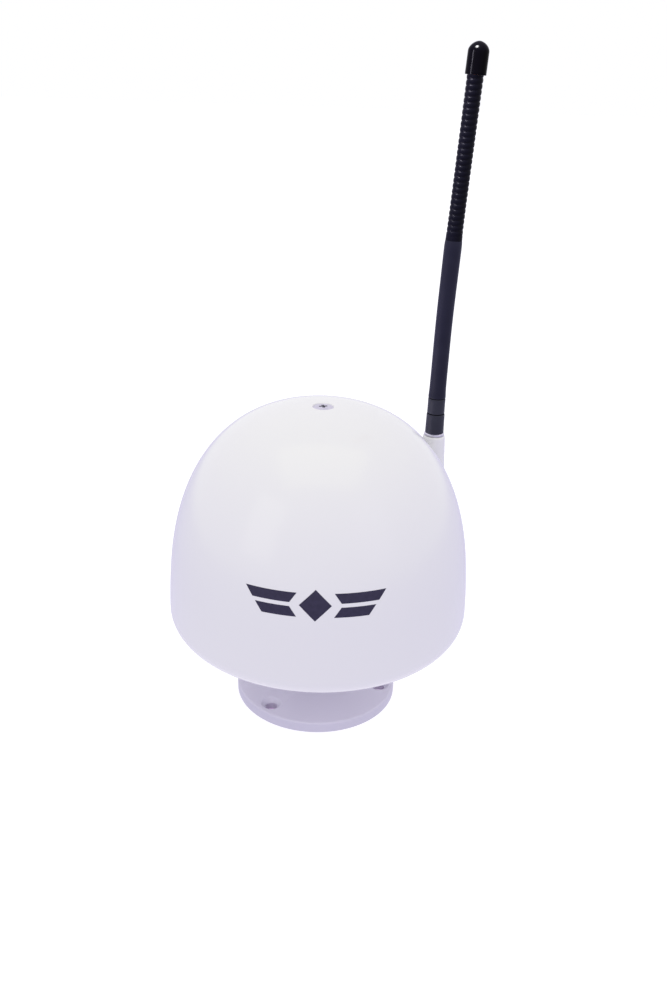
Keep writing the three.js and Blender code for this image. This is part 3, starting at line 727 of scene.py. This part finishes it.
def whip_piece(name, outline, sides=64, closed=True, ridge=None):
    """Sweep an outline of (radius, z) along the whip. ridge adds to a radius at (z, angles)."""
    verts, rings = [], []
    angles = 2 * math.pi * np.arange(sides) / sides
    for r, z in outline:
        if r < 1e-7:
            rings.append([len(verts)])
            verts.append(whip_points(z, 0.0, 1)[0])
            continue
        radius = r if ridge is None else r + ridge(r, z, angles)
        rings.append(list(range(len(verts), len(verts) + sides)))
        verts.extend(whip_points(z, radius, sides))
    pairs = list(zip(rings, rings[1:]))
    if closed:
        pairs.append((rings[-1], rings[0]))
    piece = link(name, verts, [face for low, high in pairs for face in bridge(low, high)])
    piece.visible_glossy = False        # no streak of the whip in the dome's gloss
    shade(piece)
    return piece


def paint_groove_shade(*pieces):
    """The cut ends of a sleeve get a darker, glossless material: painted shade that keeps the grooves between the
    sleeves dark.
    """
    for piece in pieces:
        piece.data.materials.append(MATERIALS["groove_painted_shade"])
        for polygon in piece.data.polygons:
            if abs(polygon.normal.z) > 0.5:
                polygon.material_index = 1


def flex(piece):
    """Make a piece's placement part of its mesh; the bend along the whip comes from whip_points."""
    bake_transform(piece)


def stretch(outline, step):
    """Add points along an outline, no more than step apart in z, so that it can bend."""
    points = []
    for (r0, z0), (r1, z1) in zip(outline, outline[1:]):
        count = max(1, round(abs(z1 - z0) / step))
        points += [(r0 + (r1 - r0) * k / count, z0 + (z1 - z0) * k / count) for k in range(count)]
    return points + [outline[-1]]


def whip_ring():
    low, high = RING_LOW.z / MM, RING_HIGH.z / MM
    turned_piece("whip_ring_bright", [
        (4.9, low, 0.1), (6.95, low, 0.35), (6.95, high, 0.35), (4.9, high, 0.2)],
        "seat_ring", "stainless", "whip_ring", centre=(BOSS_X, BOSS_Y))


def whip_fittings():
    low, step = FERRULE_Z / MM, COLLAR_Z / MM
    outline = in_mm([(3.3, low), (6.0, low), (6.3, low + 0.15), (6.42, low + 0.5), (6.4, low + 2),
                     (6.22, step - 1.6), (6.18, step - 0.9), (6.0, step - 0.45), (5.8, step - 0.3),
                     (3.3, step - 0.3)])
    ferrule = whip_piece("ferrule_sleeve", stretch(outline, 1 * MM))
    dress(ferrule, "whip_foot", "black_fitting", MATERIALS["black_fitting"], "whip_ferrule")

    pivot = FOOT_PIVOT_Z / MM
    outline = in_mm([(3.3, step), (5.75, step), (5.95, step + 0.25), (5.97, step + 1.2),
                     (5.9, step + 6), (5.97, pivot - 1.4), (5.92, pivot - 0.7),
                     (5.7, pivot - 0.3), (3.3, pivot - 0.3)])
    collar = whip_piece("collar_sleeve", stretch(outline, 0.8 * MM))
    dress(collar, None, "black_fitting", MATERIALS["black_fitting"], "whip_collar")
    paint_groove_shade(ferrule, collar)
    flex(collar)


def whip_shaft():
    pivot, middle, coil = FOOT_PIVOT_Z / MM, SHAFT_MIDDLE_Z / MM, COIL_PIVOT_Z / MM
    bore = 2.5
    outline = in_mm([(bore, pivot), (5.7, pivot), (5.9, pivot + 0.3), (5.94, pivot + 1.2),
                     (5.82, pivot + 3), (5.68, pivot + 7), (5.6, pivot + 16), (5.58, middle),
                     (bore, middle)])
    lower = whip_piece("shaft_sleeve_low", stretch(outline, 1.2 * MM))
    dress(lower, None, "black_sleeve", MATERIALS["black_sleeve"], "whip_shaft")
    flex(lower)
    outline = in_mm([(bore, middle), (5.58, middle), (5.62, middle + 22), (5.7, coil - 12),
                     (5.72, coil - 6), (5.68, coil - 3), (5.55, coil - 1), (5.4, coil),
                     (bore, coil)])
    upper = whip_piece("shaft_sleeve_high", stretch(outline, 1.2 * MM))
    dress(upper, None, "black_sleeve", MATERIALS["black_sleeve"], "whip_shaft")
    paint_groove_shade(lower, upper)
    flex(upper)

    for name, low, high, joint in (("rod_low", pivot + 6.5, middle, "foot"),
                                   ("rod_high", middle, coil + 4, "coil")):
        outline = in_mm([(0, low), (2.2, low), (2.2, high), (0, high)])
        core = whip_piece(name, stretch(outline, 2 * MM), sides=24, closed=False)
        dress(core, None, "glass_fibre", MATERIALS["glass_fibre"], "whip_rod")
        flex(core)


COIL_PITCH = 3.28 * MM
GROOVE_DEPTH = 0.42 * MM
GROOVE_SHARPNESS = 2.4


def coil_ridge(radius, z, angles):
    """Grooves between the turns that show through the shrunk jacket, fading in above the joint."""
    jacket_bore_side = 4.8 * MM
    if radius < jacket_bore_side:
        return 0.0
    phase = (z / COIL_PITCH - angles / (2 * math.pi)) % 1.0
    depth = GROOVE_DEPTH * float(ease((z - COIL_PIVOT_Z - 1 * MM) / (6 * MM)))
    return -depth * np.abs(2 * phase - 1) ** GROOVE_SHARPNESS


def whip_coil():
    coil, top = COIL_PIVOT_Z / MM, WHIP_TOP_Z / MM
    cap_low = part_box("whip_cap")[0].z / MM + 0.3
    jacket_top = cap_low + 7
    outline = in_mm([(4.4, coil + 0.15), (5.4, coil + 0.15), (5.25, coil + 6), (5.15, coil + 20),
                     (5.1, jacket_top), (4.4, jacket_top)])
    jacket = whip_piece("coil_jacket", stretch(outline, COIL_PITCH / 12), sides=56, ridge=coil_ridge)
    dress(jacket, None, "black_sleeve", MATERIALS["black_coil"], "whip_coil_jacket")
    flex(jacket)

    core_low, core_high = coil + 6.5, jacket_top - 1
    outline = in_mm([(0, core_low), (2.2, core_low), (2.2, core_high), (0, core_high)])
    core = whip_piece("rod_top", stretch(outline, 2 * MM), sides=24, closed=False)
    dress(core, None, "glass_fibre", MATERIALS["glass_fibre"], "whip_rod_top")
    flex(core)
    winding(core_low * MM, (core_high - 1) * MM)

    outline = in_mm([(5.55, cap_low), (6.2, cap_low), (6.4, cap_low + 0.15), (6.45, cap_low + 0.5)])
    crown, power = 5.6 * MM, 2 / 1.75
    for angle in np.linspace(0, math.pi / 2, 15):
        outline.append((6.4 * MM * math.cos(angle) ** power,
                        WHIP_TOP_Z - crown * (1 - math.sin(angle) ** power)))
    outline[-1] = (0, WHIP_TOP_Z)
    outline += [(0, jacket_top * MM + 0.3 * MM), (5.55 * MM, jacket_top * MM + 0.3 * MM)]
    cap = whip_piece("cap_shell", stretch(outline, 1.5 * MM))
    dress(cap, "whip_end", "black_cap", MATERIALS["black_cap"], "whip_cap")


def winding(low, high):
    """Copper wire wound on the rod, at the pitch that shows through the jacket."""
    wire, radius, section = 0.75 * MM, 3.2 * MM, 6
    steps = int((high - low) / COIL_PITCH * 20)
    verts, rings = [], []
    for i in range(steps + 1):
        z = low + (high - low) * i / steps
        angle = 2 * math.pi * (z - low) / COIL_PITCH
        ring = []
        for k in range(section):
            swing = 2 * math.pi * k / section
            r = radius + wire * math.cos(swing)
            height = z + wire * math.sin(swing)
            shift = float(np.interp(height, AXIS_Z, AXIS_SHIFT))
            ring.append(len(verts))
            verts.append((BOSS_X + shift + r * math.cos(angle), BOSS_Y + r * math.sin(angle),
                          height))
        rings.append(ring)
    faces = [rings[0], rings[-1][::-1]]
    for first, second in zip(rings, rings[1:]):
        faces += [face[::-1] for face in bridge(first, second)]
    piece = link("winding_wire", verts, faces)
    shade(piece, 60)
    dress(piece, None, "copper", MATERIALS["copper"], "whip_winding")
    flex(piece)


# ---- printed badge: stacked bars either side of a lozenge ----
def ink_patch(name, corners):
    """Ink in a four-cornered shape. Corners are (along the wall, height) from the front centre."""
    columns, rows = 24, 6
    (ax, az), (bx, bz), (cx, cz), (dx, dz) = corners
    skins = []
    verts = []
    for lift in (0.07 * MM, -0.3 * MM):
        grid = []
        for j in range(rows + 1):
            v = j / rows
            for i in range(columns + 1):
                u = i / columns
                along = (ax * (1 - u) + bx * u) * (1 - v) + (dx * (1 - u) + cx * u) * v
                z = (az * (1 - u) + bz * u) * (1 - v) + (dz * (1 - u) + cz * u) * v
                radius = outline_radius(z) + lift
                angle = along / outline_radius(z)
                grid.append(len(verts))
                verts.append((radius * math.sin(angle), -radius * math.cos(angle), z))
        skins.append(grid)
    faces = []
    width = columns + 1
    for skin, flip in ((skins[0], False), (skins[1], True)):
        for j in range(rows):
            for i in range(columns):
                k = j * width + i
                quad = [skin[k], skin[k + 1], skin[k + 1 + width], skin[k + width]]
                faces.append(quad[::-1] if flip else quad)
    border = list(range(columns)) + [columns + j * width for j in range(rows)]
    border += [rows * width + i for i in range(columns, 0, -1)]
    border += [j * width for j in range(rows, 0, -1)]
    for k, here in enumerate(border):
        ahead = border[(k + 1) % len(border)]
        faces.append((skins[1][here], skins[1][ahead], skins[0][ahead], skins[0][here]))
    piece = link(name, verts, faces)
    shade(piece, 40)
    dress(piece, "head", "black_fitting", MATERIALS["print_ink"])


def badge():
    centre_z = RIM_Z + 64.5 * MM
    half_height, half_width = 9.5 * MM, 9.5 * MM
    ink_patch("badge_lozenge", [(-half_width, centre_z), (0, centre_z - half_height),
                                (half_width, centre_z), (0, centre_z + half_height)])
    bar, space, near = 6 * MM, 2.4 * MM, 11 * MM
    slant = bar * math.tan(math.radians(35))
    for side, hand in ((-1, "left"), (1, "right")):
        for row, far in (("upper", 42 * MM), ("lower", 36 * MM)):
            low = centre_z + (space / 2 if row == "upper" else -space / 2 - bar)
            high = low + bar
            near_low, near_high = (near, near + slant) if row == "lower" else (near + slant, near)
            corners = [(side * near_low, low), (side * (far - slant), low), (side * far, high),
                       (side * near_high, high)]
            if side < 0:
                corners = [corners[1], corners[0], corners[3], corners[2]]
            ink_patch(f"badge_bar_{hand}_{row}", corners)


def carried_nodes():
    """The CAD nodes that are still shown take the material of their slot in the record."""
    slots = {part["node"]: part["material_slot"] for part in frame["record"]["subparts"]}
    for name, node in frame["nodes"].items():
        if not node.hide_render:
            node.data.materials.clear()
            node.data.materials.append(MATERIALS[slots[name]])


radome()
apex_screw()
deck_flange()
neck()
base_plate()
hub_screws()
whip_ring()
whip_fittings()
whip_shaft()
whip_coil()
badge()
carried_nodes()


# ---- stage ----
def paper(name, tones, glow, strength):
    """Matt paper with a glow, which keeps it evenly pale."""
    material = surface(name, tones, (0.75, 0.9), [(200, 20e-6)], patch_scale=2, specular=0.1)
    shader = material.node_tree.nodes["Principled BSDF"]
    shader.inputs["Emission Color"].default_value = (*glow, 1)
    shader.inputs["Emission Strength"].default_value = strength
    return material


def floor():
    reach = 12
    level = -0.1 * MM
    sheet = link("floor", [(-reach, -reach, level), (reach, -reach, level), (reach, reach, level),
                           (-reach, reach, level)], [(0, 1, 2, 3)])
    sheet.data.materials.append(paper("floor_paper", ((0.42, 0.42, 0.44), (0.44, 0.44, 0.46)),
                                      (1, 1, 1), 0.74))
    sheet.visible_diffuse = False
    sheet.visible_glossy = False
    sheet.visible_shadow = False

    # The paper under the flange blocks light from below and shows through the screw holes; its mauve colour and
    # faint mauve glow are painted shade.
    outline = [(0, level / 2), (FLANGE_RADIUS - 1 * MM, level / 2)]
    shaded = link("floor_under_flange", *spin(outline, 96, closed=False))
    shaded.data.materials.append(paper("floor_painted_shade", ((0.70, 0.52, 0.74), (0.72, 0.54, 0.76)),
                                       (0.7, 0.5, 0.75), 0.2))


def softbox(name, place, target, size, power, colour=(1, 1, 1)):
    light = bpy.data.lights.new(name, "AREA")
    light.shape = "RECTANGLE"
    light.size, light.size_y = size
    light.energy = power
    light.color = colour
    lamp = bpy.data.objects.new(name, light)
    bpy.context.scene.collection.objects.link(lamp)
    lamp.location = place
    lamp.rotation_euler = (Vector(target) - Vector(place)).to_track_quat("-Z", "Y").to_euler()
    return lamp


def light_only(lamp, *names):
    """Let a lamp light these pieces and nothing else, and let only these pieces shade each other."""
    lit = bpy.data.collections.new(lamp.name)
    for name in names:
        lit.objects.link(bpy.data.objects[name])
    lamp.light_linking.receiver_collection = lit
    lamp.light_linking.blocker_collection = lit


def spare(lamp, name):
    """Keep a lamp's light off one piece."""
    spared = bpy.data.collections.new(lamp.name)
    spared.objects.link(bpy.data.objects[name])
    spared.collection_objects[0].light_linking.link_state = "EXCLUDE"
    lamp.light_linking.receiver_collection = spared


# The sky's colour by height, from straight down (-1) to straight up (1).
PAPER_BELOW = (1.15, 1.12, 1.20)
LILAC_SHADE = (0.65, 0.62, 0.85)
HORIZON_WHITE = (1.0, 1.0, 1.04)
PALE_SKY = (1.0, 0.98, 1.05)
CEILING = (0.95, 0.95, 1.0)
SKY_STOPS = ((-1, PAPER_BELOW), (-0.4, LILAC_SHADE), (-0.15, LILAC_SHADE), (-0.04, HORIZON_WHITE),
             (0.07, HORIZON_WHITE), (0.15, PALE_SKY), (0.6, PALE_SKY), (1, CEILING))


def sky():
    """White round the horizon, faintly lilac above, lilac shade below, and paper straight below."""
    world = bpy.data.worlds.new("studio")
    bpy.context.scene.world = world
    world.use_nodes = True
    tree = world.node_tree
    direction = tree.nodes.new("ShaderNodeTexCoord")
    split = tree.nodes.new("ShaderNodeSeparateXYZ")
    height = tree.nodes.new("ShaderNodeMapRange")
    height.inputs["From Min"].default_value = -1
    colours = tree.nodes.new("ShaderNodeValToRGB")
    stops = colours.color_ramp.elements
    (_, lowest), *between, (_, highest) = SKY_STOPS
    stops[0].color = (*lowest, 1)
    stops[1].color = (*highest, 1)
    for rise, colour in between:
        stops.new((rise + 1) / 2).color = (*colour, 1)
    tree.links.new(direction.outputs["Generated"], split.inputs["Vector"])
    tree.links.new(split.outputs["Z"], height.inputs["Value"])
    tree.links.new(height.outputs["Result"], colours.inputs["Fac"])
    tree.links.new(colours.outputs["Color"], tree.nodes["Background"].inputs["Color"])


def lamps():
    """Three large lamps, the front two kept off the flange, and others for the flange or the whip."""
    dome_middle, whip_top = (0, 0, 0.12), (0.1, 0.06, 0.4)
    front_size = (0.9, 1.3)
    flange = "deck_flange_disc"
    softbox("overhead", (0.0, -0.2, 1.6), (0, 0, 0.1), (1.6, 1.2), 3, (0.95, 1.0, 0.5))
    left = softbox("left_front", (-1.3, -1.2, 0.9), dome_middle, front_size, 2, (1.0, 1.0, 0.75))
    right = softbox("right_front", (1.3, -1.2, 0.9), dome_middle, front_size, 0.7, (0.95, 0.85, 1.0))
    spare(left, flange)
    spare(right, flange)
    fill = softbox("deck_fill", (0, -0.5, 1.2), (0, 0, 0), (0.8, 0.8), 5.2, (0.98, 0.94, 1.0))
    light_only(fill, flange)
    cap_left = softbox("cap_left", (-1.0, -0.5, 0.42), whip_top, (0.14, 0.8), 18, (0.86, 0.84, 1.0))
    light_only(cap_left, "cap_shell")
    cap_key = softbox("cap_key", (-0.3, -0.35, 1.6), whip_top, (0.5, 0.5), 260)
    light_only(cap_key, "cap_shell")
    coil_key = softbox("coil_key", (-0.64, -0.3, 1.35), (0.13, 0.06, 0.36), (0.5, 0.5), 60,
                       (0.86, 0.82, 1.0))
    light_only(coil_key, "coil_jacket")
    whip_left = softbox("whip_left", (-0.6, -0.05, -0.3), (0.1, 0.06, 0.2), (0.3, 0.5), 5,
                        (0.86, 0.80, 1.0))
    light_only(whip_left, "ferrule_sleeve", "collar_sleeve", "shaft_sleeve_low",
               "shaft_sleeve_high", "coil_jacket", "cap_shell")


def camera():
    place = (8.4 * MM, -563.6 * MM, 400.1 * MM)
    pitch_down = math.radians(24.35)
    roll = math.radians(1.89)
    data = bpy.data.cameras.new("camera")
    data.sensor_width = 36
    data.lens = 34
    data.clip_start = 0.01
    viewer = bpy.data.objects.new("camera", data)
    bpy.context.scene.collection.objects.link(viewer)
    viewer.matrix_world = (Matrix.Translation(place)
                           @ Matrix.Rotation(math.pi / 2 - pitch_down, 4, "X")
                           @ Matrix.Rotation(roll, 4, "Z"))
    bpy.context.scene.camera = viewer


floor()
sky()
lamps()
camera()
bpy.context.scene.view_settings.view_transform = "Standard"
